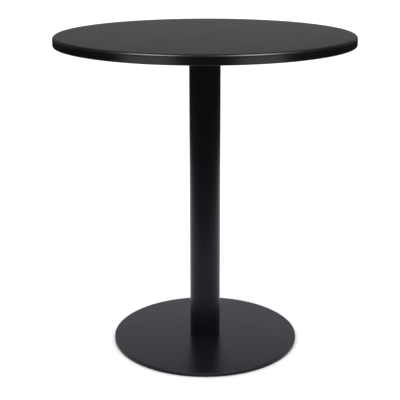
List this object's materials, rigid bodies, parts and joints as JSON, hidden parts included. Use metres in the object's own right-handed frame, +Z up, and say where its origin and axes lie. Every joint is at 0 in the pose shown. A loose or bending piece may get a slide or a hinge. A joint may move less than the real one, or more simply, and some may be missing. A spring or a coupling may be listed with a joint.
{
  "type": "bistro table",
  "caption": "Round satin black bistro table: steel-clad top with a turned-down rim, straight tube column and flat weighted disc base on low levelling glides.",
  "frame": {"origin": "on the floor, under the centre of the table", "axes": "+Z up along the column; +X and +Y lie between the glides, which stand at 45 degrees to them"},
  "size_m": [0.6899, 0.69, 0.75],
  "materials": {
    "top_powder_coat": "satin",
    "frame_powder_coat": "satin",
    "primed_steel": "matte",
    "fibreboard": "matte",
    "backing_laminate": "matte",
    "zinc_plated_steel": "satin",
    "black_steel": "satin",
    "nylon": "matte"
  },
  "bodies": {
    "table": {"top_pan": "top_powder_coat", "top_core": "fibreboard", "backing_sheet": "backing_laminate", "threaded_inserts": "zinc_plated_steel", "mounting_plate": "frame_powder_coat", "mounting_screws": "black_steel", "mounting_washers": "black_steel", "column_tube": "frame_powder_coat", "upper_centring_disc": "zinc_plated_steel", "upper_joint_ring": "nylon", "lower_joint_ring": "nylon", "tie_rod": "zinc_plated_steel", "rod_washer": "zinc_plated_steel", "rod_spring_washer": "zinc_plated_steel", "rod_nut": "zinc_plated_steel", "base_cover": "frame_powder_coat", "base_weight": "primed_steel", "base_hub": "zinc_plated_steel", "hub_screws": "black_steel"},
    "pad_1": {"glide_pad_1": "nylon"},
    "pad_2": {"glide_pad_2": "nylon"},
    "pad_3": {"glide_pad_3": "nylon"},
    "pad_4": {"glide_pad_4": "nylon"},
    "stud_1": {"glide_stud_1": "zinc_plated_steel"},
    "stud_2": {"glide_stud_2": "zinc_plated_steel"},
    "stud_3": {"glide_stud_3": "zinc_plated_steel"},
    "stud_4": {"glide_stud_4": "zinc_plated_steel"}
  },
  "joints": [
    {"name": "glide_1_travel", "type": "slide", "parent": "table", "child": "pad_1", "axis": [0, 0, -1], "range_m": [0, 0.002]},
    {"name": "glide_1_turn", "type": "hinge", "parent": "pad_1", "child": "stud_1", "pos_m": [0.13789, 0.13789, 0], "axis": [0, 0, -1], "range_deg": [0, 576.1]},
    {"name": "glide_2_travel", "type": "slide", "parent": "table", "child": "pad_2", "axis": [0, 0, -1], "range_m": [0, 0.002]},
    {"name": "glide_2_turn", "type": "hinge", "parent": "pad_2", "child": "stud_2", "pos_m": [-0.13789, 0.13789, 0], "axis": [0, 0, -1], "range_deg": [0, 576.1]},
    {"name": "glide_3_travel", "type": "slide", "parent": "table", "child": "pad_3", "axis": [0, 0, -1], "range_m": [0, 0.002]},
    {"name": "glide_3_turn", "type": "hinge", "parent": "pad_3", "child": "stud_3", "pos_m": [-0.13789, -0.13789, 0], "axis": [0, 0, -1], "range_deg": [0, 576.1]},
    {"name": "glide_4_travel", "type": "slide", "parent": "table", "child": "pad_4", "axis": [0, 0, -1], "range_m": [0, 0.002]},
    {"name": "glide_4_turn", "type": "hinge", "parent": "pad_4", "child": "stud_4", "pos_m": [0.13789, -0.13789, 0], "axis": [0, 0, -1], "range_deg": [0, 576.1]}
  ],
  "couplings": [
    {"joint": "glide_1_turn", "follows": "glide_1_travel", "rad_per_m": 5026.5},
    {"joint": "glide_2_turn", "follows": "glide_2_travel", "rad_per_m": 5026.5},
    {"joint": "glide_3_turn", "follows": "glide_3_travel", "rad_per_m": 5026.5},
    {"joint": "glide_4_turn", "follows": "glide_4_travel", "rad_per_m": 5026.5}
  ]
}
